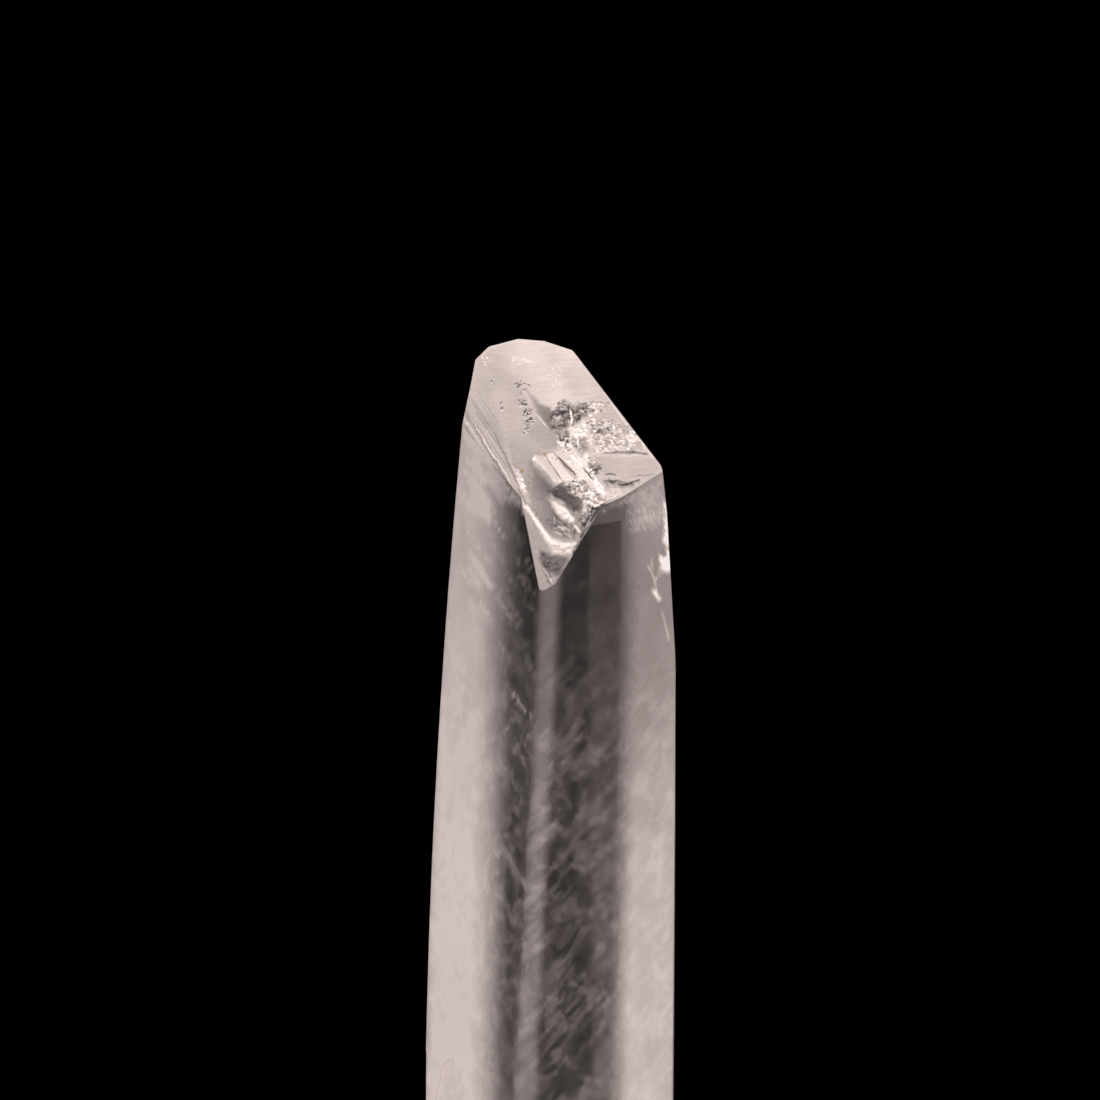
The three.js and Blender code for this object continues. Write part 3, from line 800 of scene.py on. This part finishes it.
def draw_bruised_side(skin, side):
    """The bruised shoulder of the face at the right: wavy steps, chips and a branching vein."""
    fade = ease((skin.y + 0.456) / 3.0)
    skin.paint(1.0, haze=skin.haze * (1 - side) + side * (HAZE + 0.1 * fade))
    rng = random.Random(44)
    rough = [(2.66, 3.19), (3.34, 3.57), (4.18, 3.8), (4.26, 2.66), (3.72, 2.2), (2.81, 2.13)]
    skin.fill(rough, 0.4, 0.2, within=side, haze=0.24 + 0.12 * skin.torn)
    for _ in range(44):
        x, y = rng.uniform(2.584, 3.42), rng.uniform(3.496, 2.128)
        length, bend, climb = rng.uniform(0.304, 1.292), rng.uniform(-0.228, 0.228), rng.uniform(0.0, 0.5)
        wave = [(x, y), (x + length / 2, y + length * climb / 2 - bend), (x + length, y + length * climb)]
        radii = (0.02, rng.uniform(0.04, 0.11), 0.02)
        skin.stroke(wave, radii, within=side, haze=rng.uniform(0.1, 0.7), lift=-0.01)
    under_rim = [(1.37, 2.81), (2.2, 3.12), (2.96, 3.42), (3.72, 3.88), (4.26, 4.26)]
    skin.stroke(under_rim, (0.14, 0.2, 0.24, 0.26, 0.12), within=side * ease(0.5 + skin.torn), haze=0.42)
    chip = [(4.1, 3.34), (4.41, 3.23), (4.71, 2.28), (4.71, 1.37), (4.18, 1.18), (4.07, 1.82)]
    skin.fill(chip, 0.15, 0.1, within=side, haze=0.95, lift=-0.04)
    blob = [(3.88, 1.22), (4.33, 1.29), (4.71, 0.99), (4.33, 0.57), (3.88, 0.65)]
    skin.fill(blob, 0.15, 0.12, within=side, haze=1.0, lift=-0.04)
    veins = [
        # places, radius, haze
        ([(3.42, 0.84), (3.57, 0.65), (3.72, 0.34), (3.76, -0.15)], 0.06, 0.75),
        ([(3.69, -0.15), (3.88, -0.42)], 0.17, 1.0),
        ([(3.95, 0.65), (3.76, 0.3)], 0.05, 0.7),
        ([(3.61, 1.14), (3.57, 0.68)], 0.05, 0.5),
        ([(3.99, -0.91), (4.26, -1.98)], 0.07, 0.4),
    ]
    for places, radius, haze in veins:
        skin.stroke(places, radius, within=side, haze=haze)


def draw_stains(skin):
    """Small spots of iron stain in the cracks."""
    spots = [
        # across, up, radius
        (-0.46, 5.05, 0.09), (-0.19, 4.98, 0.05), (-0.04, 4.9, 0.05), (-1.33, 4.45, 0.08), (-1.06, 3.99, 0.05),
        (-0.8, 2.77, 0.05), (1.22, 4.94, 0.05), (1.56, 3.46, 0.04), (4.33, 2.66, 0.14), (4.26, 1.52, 0.1),
    ]
    for x, y, radius in spots:
        away = np.hypot(skin.x - x, skin.y - y)
        skin.stain = np.maximum(skin.stain, 0.9 * ease(1.3 - away / radius + 0.4 * skin.torn))


def rim_distances(points, on_rim):
    """How far each point lies from the nearest point of the rim."""
    tree = KDTree(int(on_rim.sum()))
    for i, point in enumerate(points[on_rim]):
        tree.insert(point, i)
    tree.balance()
    return np.array([tree.find(point)[2] for point in points])


def carve(piece):
    """Carves and frosts the end of the crystal, and keeps the finish on its corners."""
    mesh = piece.data
    everything = points_of(mesh)
    ends, rights, lefts = (
        np.array([is_picked(polygon, keep) for polygon in mesh.polygons])
        for keep in (on_carved_face, on_bruised_face, on_hazy_face)
    )
    own = ends | rights | lefts
    touches_end, touches_right, touches_own, touches_plain = np.zeros((4, len(everything)), bool)
    for polygon in mesh.polygons:
        corners = list(polygon.vertices)
        touches_end[corners] |= ends[polygon.index]
        touches_right[corners] |= rights[polygon.index]
        touches_own[corners] |= own[polygon.index]
        touches_plain[corners] |= not ends[polygon.index]
    chosen = np.flatnonzero(touches_own)
    on_end = touches_end[chosen].astype(float)

    skin = Skin(everything[chosen])
    fan, steep = round_off(skin)
    draw_grounds(skin, fan, steep)
    for draw in (draw_smooth_middle, draw_scar, draw_rubble, draw_hollow, draw_crest, draw_lip,
                 draw_veins, draw_blades, draw_right, draw_left_chips):
        draw(skin)
    coarse, coarse_tint = chips_at(skin.points, 0.2, 1)
    fine, fine_tint = chips_at(skin.points, 0.09, 2)
    skin.lift += skin.crumble * (coarse * 0.6 + fine * 0.9)
    skin.frost += skin.crumble * (coarse_tint * 0.45 + fine_tint * 0.6)
    skin.lift += noise_at(skin.points, 1.1, 5)[:, 0] * 0.012
    skin.lift *= on_end
    draw_hazy_side(skin)
    draw_bruised_side(skin, touches_right[chosen].astype(float))
    draw_stains(skin)

    skin.lift *= ease(rim_distances(skin.points, touches_plain[chosen]) / RIM)
    everything[chosen] += LOOK.out * skin.lift[:, None]
    everything[:, 1] = np.maximum(everything[:, 1], 0.0)
    place_points(mesh, everything)

    layers = {
        # name: values, where they show, value elsewhere
        "frost": (skin.frost, ends, 0.0),
        "crumble": (skin.crumble, ends, 0.0),
        "stain": (skin.stain, own, 0.0),
        "haze": (skin.haze, rights | lefts, HAZE),
    }
    for name, (values, shows, plain) in layers.items():
        on_point = np.full(len(everything), plain)
        on_point[chosen] = values
        finish = np.full(len(mesh.loops), plain)
        for polygon in mesh.polygons:
            if shows[polygon.index]:
                finish[list(polygon.loop_indices)] = on_point[list(polygon.vertices)]
            elif name == "haze" and ends[polygon.index]:
                finish[list(polygon.loop_indices)] = 0.0
        mesh.attributes.new(name, "FLOAT", "CORNER").data.foreach_set("value", finish)


# ------------------------------------------------------------------ materials


class Socket:
    """A node's output that can be used in arithmetic: each operation adds its own node."""

    def __init__(self, shader, output):
        self.shader = shader
        self.output = output

    def math(self, operation, *values, clamp=False):
        settings = {"operation": operation, "use_clamp": clamp}
        return self.shader.node("ShaderNodeMath", settings, dict(enumerate(values)))

    def __add__(self, other):
        return self.math("ADD", self, other)

    def __sub__(self, other):
        return self.math("SUBTRACT", self, other)

    def __rsub__(self, other):
        return self.math("SUBTRACT", other, self)

    def __mul__(self, other):
        return self.math("MULTIPLY", self, other)

    def __abs__(self):
        return self.math("ABSOLUTE", self)

    __radd__ = __add__
    __rmul__ = __mul__


class Shader:
    """A material's node tree, built from expressions."""

    def __init__(self, name):
        self.material = bpy.data.materials.new(name)
        self.material.use_nodes = True
        self.tree = self.material.node_tree
        self.tree.nodes.clear()

    def node(self, kind, settings=None, values=None, output=0):
        """Adds a node: its settings first, then the values or links of its inputs."""
        node = self.tree.nodes.new(kind)
        for name, value in (settings or {}).items():
            if name == "stops":
                set_stops(node.color_ramp.elements, value)
            else:
                setattr(node, name, value)
        for name, value in (values or {}).items():
            if isinstance(value, Socket):
                self.tree.links.new(value.output, node.inputs[name])
            else:
                node.inputs[name].default_value = value
        return Socket(self, node.outputs[output]) if node.outputs else None

    def places(self):
        """Object coordinates, in millimetres."""
        coordinates = self.node("ShaderNodeTexCoord", output="Object")
        return self.node("ShaderNodeVectorMath", {"operation": "SCALE"}, {0: coordinates, "Scale": 1 / MM})

    def stretched(self, places, scales, turn=(0.0, 0.0, 0.0)):
        """Places turned, then stretched by a scale along each axis."""
        return self.node(
            "ShaderNodeMapping", {"vector_type": "TEXTURE"},
            {"Vector": places, "Rotation": turn, "Scale": tuple(1 / scale for scale in scales)},
        )

    def noise(self, places, scale, detail=3.0, roughness=0.55, distortion=0.0):
        values = {"Vector": places, "Scale": scale, "Detail": detail, "Roughness": roughness}
        return self.node("ShaderNodeTexNoise", None, {**values, "Distortion": distortion})

    def between(self, value, low, high, to_low=0.0, to_high=1.0):
        """A value's smooth rise between two levels."""
        return self.node(
            "ShaderNodeMapRange", {"interpolation_type": "SMOOTHSTEP"},
            {"Value": value, "From Min": low, "From Max": high, "To Min": to_low, "To Max": to_high},
        )

    def attribute(self, name):
        return self.node("ShaderNodeAttribute", {"attribute_name": name}, output="Fac")

    def blend(self, factor, a, b):
        """A colour between two colours."""
        return self.node("ShaderNodeMix", {"data_type": "RGBA"}, {0: factor, 6: a, 7: b}, output=2)

    def bump(self, height):
        """A relief as high as RELIEF where its height is 1."""
        values = {"Height": height, "Distance": RELIEF * MM, "Strength": 1.0}
        return self.node("ShaderNodeBump", None, values)

    def finish(self, **links):
        """Joins the surface, and the volume if there is one, to the output."""
        self.node("ShaderNodeOutputMaterial", None, links)
        return self.material


def set_stops(elements, stops):
    """Gives a colour ramp its stops."""
    for i, (position, colour) in enumerate(stops):
        element = elements[i] if i < len(elements) else elements.new(position)
        element.position = position
        element.color = colour


RELIEF = 0.02
INDEX = 1.58  # refraction
CLEAR = (0.985, 0.965, 0.955, 1.0)
CLEAR_DEPTHS = (0.97, 0.93, 0.90, 1.0)
CLEAR_DENSITY = 45.0
SKIN_REACH = 1.4  # the frost at which the skin is whitest
SKIN_TONES = [
    # share of that frost, colour
    (0.08, (0.045, 0.041, 0.041, 1.0)),
    (0.25, (0.17, 0.152, 0.148, 1.0)),
    (0.43, (0.34, 0.305, 0.29, 1.0)),
    (0.57, (0.52, 0.468, 0.44, 1.0)),
    (0.66, (0.70, 0.635, 0.59, 1.0)),
    (0.80, (0.86, 0.80, 0.76, 1.0)),
    (0.95, (0.96, 0.93, 0.90, 1.0)),
]
SKIN_ROUGHNESS = 0.45
SKIN_GLOSS = 0.3
# colours of the milky skin on the prism faces, which also carries the painted bands of light; the paler one
# lower down is painted light
HAZE_AND_PAINTED_BAND_HIGH = (0.53, 0.475, 0.465, 1.0)
HAZE_AND_PAINTED_BAND_LOW = (0.66, 0.60, 0.58, 1.0)
HAZE_BRIGHT = (0.9, 0.86, 0.84, 1.0)
RUST = (0.33, 0.20, 0.10, 1.0)
CARD_DARK = (0.78, 0.77, 0.75, 1.0)
CARD_LIGHT = (0.84, 0.83, 0.81, 1.0)
CARD_ROUGHNESS = 0.8


def painted_light_bands(shader, across, depth, height, brighter_lower_down):
    """Painted light: a milky skin on the outer half of the wide face at the left, and on the face at the
    right, that stands in for the bright bands of light seen through the prism.
    """
    left = shader.between(across + (38 - height) * 0.016, -1.15, -2.9) * shader.between(depth, 1.4, 0.2)
    right = shader.between(across + (38 - height) * 0.0125, 2.6, 3.7) * shader.between(depth, -1.0, -2.0)
    return left * (0.82 + brighter_lower_down * 0.13) + right * (0.4 + brighter_lower_down * 0.37)


def painted_edge_glow(shader, across, depth, height):
    """A soft painted glow along the front edge, lower down: a pale milky skin that stands in for light."""
    from_edge = abs(across + (32.3 - height) * 0.042 + 0.12)
    return shader.between(from_edge, 0.6, 0.12) * shader.between(depth, -3.2, -3.9) * 0.21


def crystal_material():
    """Clear glassy mineral, with a pale frosted skin where the surface is etched or broken; the same skin
    carries painted shade, highlights, bands of light and a glow.
    """
    shader = Shader("nifontovite")
    places = shader.places()
    frost, crumble, stain, haze = (shader.attribute(name) for name in ("frost", "crumble", "stain", "haze"))
    across, depth, height = (
        shader.node("ShaderNodeSeparateXYZ", None, {0: places}, output=axis) for axis in range(3)
    )

    slope = math.atan2(-END.out[1], END.out[2])
    growth_lines = shader.noise(shader.stretched(places, (0.7, 9.0, 9.0), (slope, 0.0, 0.0)), 1.0, 2.0)
    grain = shader.noise(places, 14.0, 3.0, 0.65)
    sparkle = shader.noise(places, 7.0, 2.0)
    clouds = shader.noise(shader.stretched(places, (1.0, 1.0, 0.5)), 0.9, 3.0, 0.55, 0.4)
    wisps = shader.noise(shader.stretched(places, (2.6, 2.6, 0.5), (0.0, 0.7, 0.0)), 1.0, 2.0)
    mottle = shader.noise(shader.stretched(places, (1.0, 1.0, 0.8)), 1.5, 3.0, 0.55, 0.6)

    # the frosted skin of the end
    is_end = shader.between(frost, 0.03, 0.12)
    unevenness = (grain - 0.5) * 0.16 + (growth_lines - 0.5) * 0.14 + (clouds - 0.5) * 0.2
    # painted sparkle: random lighter and darker specks on the crumbled parts stand in for glints
    whiteness = frost + unevenness * is_end + (sparkle - 0.5) * 0.7 * crumble
    # the veil over the prism faces, to which the painted bands of light and the painted glow are added below
    veil_and_painted_light = shader.between(clouds, 0.45, 0.8, 0.0, 0.08) + shader.between(wisps, 0.42, 0.76, 0.0, 0.11)
    veil_and_painted_light = veil_and_painted_light + shader.between(mottle, 0.45, 0.75, 0.0, 0.13)
    veil_and_painted_light = veil_and_painted_light * shader.between(height, 35.5, 29.0, 0.22, 1.0)
    # painted light: the bands get stronger and the milky colour paler lower down
    brighter_lower_down = shader.between(height, 37.0, 20.0)
    # painted light: the bright bands on the wide face at the left and on the face at the right
    band = painted_light_bands(shader, across, depth, height, brighter_lower_down)
    # painted glow along the front edge
    glow = painted_edge_glow(shader, across, depth, height)
    veil_and_painted_light = veil_and_painted_light + (haze + band) * (0.75 + clouds * 0.5) + glow * (0.75 + wisps * 0.5)
    skin_share = shader.between(whiteness, 0.02, 0.24, 0.0, 0.96)
    covered = skin_share.math("ADD", skin_share, veil_and_painted_light * (1 - is_end), clamp=True)

    relief = (grain * 0.35 + growth_lines * 0.25) * is_end + sparkle * crumble * 3.0
    normal = shader.bump(relief)
    glass = shader.node(
        "ShaderNodeBsdfPrincipled", None,
        {
            "Base Color": CLEAR,
            "Roughness": shader.between(height, 29.0, 40.0, 0.22, 0.1),
            "Transmission Weight": 1.0,
            "IOR": INDEX,
            "Normal": normal,
        },
    )
    milky_and_band_colour = shader.blend(brighter_lower_down, HAZE_AND_PAINTED_BAND_HIGH, HAZE_AND_PAINTED_BAND_LOW)
    milky_and_band_colour = shader.blend(shader.between(haze, 0.6, 1.0), milky_and_band_colour, HAZE_BRIGHT)
    tone = shader.node("ShaderNodeValToRGB", {"stops": SKIN_TONES}, {0: whiteness * (1 / SKIN_REACH)})
    frosted = shader.node(
        "ShaderNodeBsdfPrincipled", None,
        {
            "Base Color": shader.blend(stain, shader.blend(is_end, milky_and_band_colour, tone), RUST),
            "Roughness": SKIN_ROUGHNESS,
            "IOR": INDEX,
            "Specular IOR Level": SKIN_GLOSS,
            "Normal": normal,
        },
    )
    surface = shader.node("ShaderNodeMixShader", None, {0: covered, 1: glass, 2: frosted})
    volume = shader.node("ShaderNodeVolumeAbsorption", None, {"Color": CLEAR_DEPTHS, "Density": CLEAR_DENSITY})
    return shader.finish(Surface=surface, Volume=volume)


def floor_material():
    """Smooth pale card."""
    shader = Shader("pale_card")
    fibres = shader.noise(shader.places(), 1.4, 6.0)
    card = shader.node(
        "ShaderNodeBsdfPrincipled", None,
        {
            "Base Color": shader.blend(fibres, CARD_DARK, CARD_LIGHT),
            "Roughness": CARD_ROUGHNESS,
            "Normal": shader.bump(fibres),
        },
    )
    return shader.finish(Surface=card)


# ------------------------------------------------------------------ building the crystal


def build_crystal():
    """The whole crystal, from the raw column to its material."""
    piece = column()
    piece.name = "crystal_body"
    piece.data.name = "crystal_body"
    bevel_edges(piece, 9, EDGE_BEVEL, 2)
    step_faces(piece)
    chip_edges(piece)
    facet(piece)
    keep_rim_crisp(piece)
    score(piece, on_carved_face, END_CELL)
    score(piece, on_bruised_face, SIDE_CELL)
    score(piece, below_bruises, SHAFT_CELL)
    score(piece, on_hazy_face, SHAFT_CELL)
    carve(piece)
    deselect()
    piece.select_set(True)
    bpy.ops.object.shade_smooth_by_angle(angle=SMOOTH_ANGLE)
    piece.data.materials.clear()
    piece.data.materials.append(crystal_material())
    return piece


crystal = build_crystal()
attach(crystal, "root")
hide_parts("crystal")


# ------------------------------------------------------------------ floor, light and camera

FLOOR_RADIUS = 14.5
FLOOR_THICKNESS = 1.6
FLOOR_BEVEL = 0.3


def floor():
    """A pale round plate under the crystal."""
    deselect()
    bpy.ops.mesh.primitive_cylinder_add(
        vertices=128, radius=FLOOR_RADIUS * MM, depth=FLOOR_THICKNESS * MM,
        location=(0, 0, -FLOOR_THICKNESS / 2 * MM),
    )
    plate = bpy.context.object
    plate.name = "floor_plate"
    bpy.ops.object.transform_apply()
    bevel_edges(plate, 40, FLOOR_BEVEL, 3)
    bpy.ops.object.shade_smooth_by_angle(angle=SMOOTH_ANGLE)
    plate.data.materials.append(floor_material())
    return plate


floor()

LIGHT_DISTANCE = 300 * MM
AIM = Vector((0.0, 0.0, 26 * MM))
LIGHT_TINT = (1.0, 0.92, 0.91)


def softbox(name, bearing, elevation, width, height, brightness):
    """A soft panel that faces the crystal. Bearings run from straight behind it, clockwise from above."""
    panel = bpy.data.lights.new(name, "AREA")
    panel.shape = "RECTANGLE"
    panel.size = 2 * LIGHT_DISTANCE * math.tan(math.radians(width / 2))
    panel.size_y = 2 * LIGHT_DISTANCE * math.tan(math.radians(height / 2))
    panel.energy = brightness * math.pi * panel.size * panel.size_y
    panel.color = LIGHT_TINT
    lamp = bpy.data.objects.new(name, panel)
    bpy.context.scene.collection.objects.link(lamp)
    turn, tilt = math.radians(bearing), math.radians(elevation)
    towards = Vector((math.sin(turn) * math.cos(tilt), math.cos(turn) * math.cos(tilt), math.sin(tilt)))
    lamp.location = AIM + towards * LIGHT_DISTANCE
    lamp.rotation_euler = (-towards).to_track_quat("-Z", "Y").to_euler()
    lamp.visible_camera = False


LIGHTS = [
    # name, bearing, elevation, width, height, brightness
    ("above", 180, 55, 40, 36, 1.0),
    ("front_left", 240, 25, 40, 36, 4.2),
    ("front", 200, 25, 40, 36, 3.8),
    ("front_right", 150, 25, 40, 36, 4.0),
    ("right", 120, -5, 40, 36, 1.2),
    ("behind_left", -30, -25, 40, 36, 0.015),
    ("behind_right", 30, -25, 40, 36, 0.08),
]
for light in LIGHTS:
    softbox(*light)

world = bpy.data.worlds.new("dark_room")
world.use_nodes = True
world.node_tree.nodes["Background"].inputs["Color"].default_value = (0, 0, 0, 1)
bpy.context.scene.world = world

FRAME_WIDTH = 41.8  # width of what the camera sees at the foot of the end
FOOT_RIGHT = 0.076  # the foot of the end lies this far right of the frame's middle
FOOT_BELOW = 1.444  # and this far below it
SENSOR = 36.0


def place_camera():
    """The camera, which looks down at the end of the crystal from a distance."""
    lens = bpy.data.cameras.new("camera")
    lens.sensor_width = SENSOR
    lens.lens = SENSOR * VIEW_DISTANCE / FRAME_WIDTH
    lens.clip_start = 5 * MM
    camera = bpy.data.objects.new("camera", lens)
    bpy.context.scene.collection.objects.link(camera)
    up = Vector((0, math.sin(VIEW_TILT), math.cos(VIEW_TILT)))
    back = Vector((0, -math.cos(VIEW_TILT), math.sin(VIEW_TILT)))
    foot = to_metres((0, 0, FOOT))
    camera.location = foot + (Vector((-FOOT_RIGHT, 0, 0)) + up * FOOT_BELOW + back * VIEW_DISTANCE) * MM
    camera.rotation_euler = (math.pi / 2 - VIEW_TILT, 0, 0)
    bpy.context.scene.camera = camera


place_camera()
bpy.context.scene.view_settings.view_transform = "Standard"
